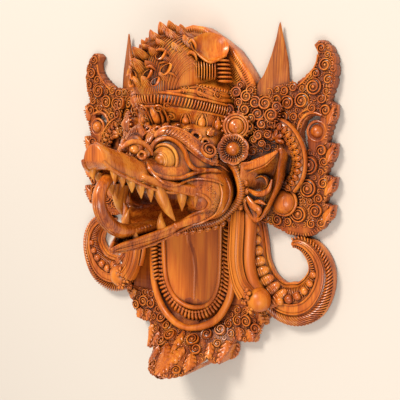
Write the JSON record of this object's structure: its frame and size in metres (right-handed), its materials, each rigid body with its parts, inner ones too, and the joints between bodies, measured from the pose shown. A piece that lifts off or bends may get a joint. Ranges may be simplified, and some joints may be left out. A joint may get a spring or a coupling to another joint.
{
  "type": "garuda mask",
  "caption": "Carved wooden mask of a mythical bird face with open beak, curling tongue, crown, fretted wings and scrolls, made to hang on a wall; it lies on its flat back.",
  "frame": {"origin": "middle of the flat back, on the surface that the mask lies on", "axes": "+Z out of the face, +Y from the beard up to the crest, +X across the face to the viewer's right"},
  "size_m": [0.3234, 0.3603, 0.1689],
  "materials": {
    "carved_wood": "oiled and rubbed to a soft shine"
  },
  "bodies": {
    "root": {"garuda_mask": "carved_wood"}
  },
  "joints": []
}
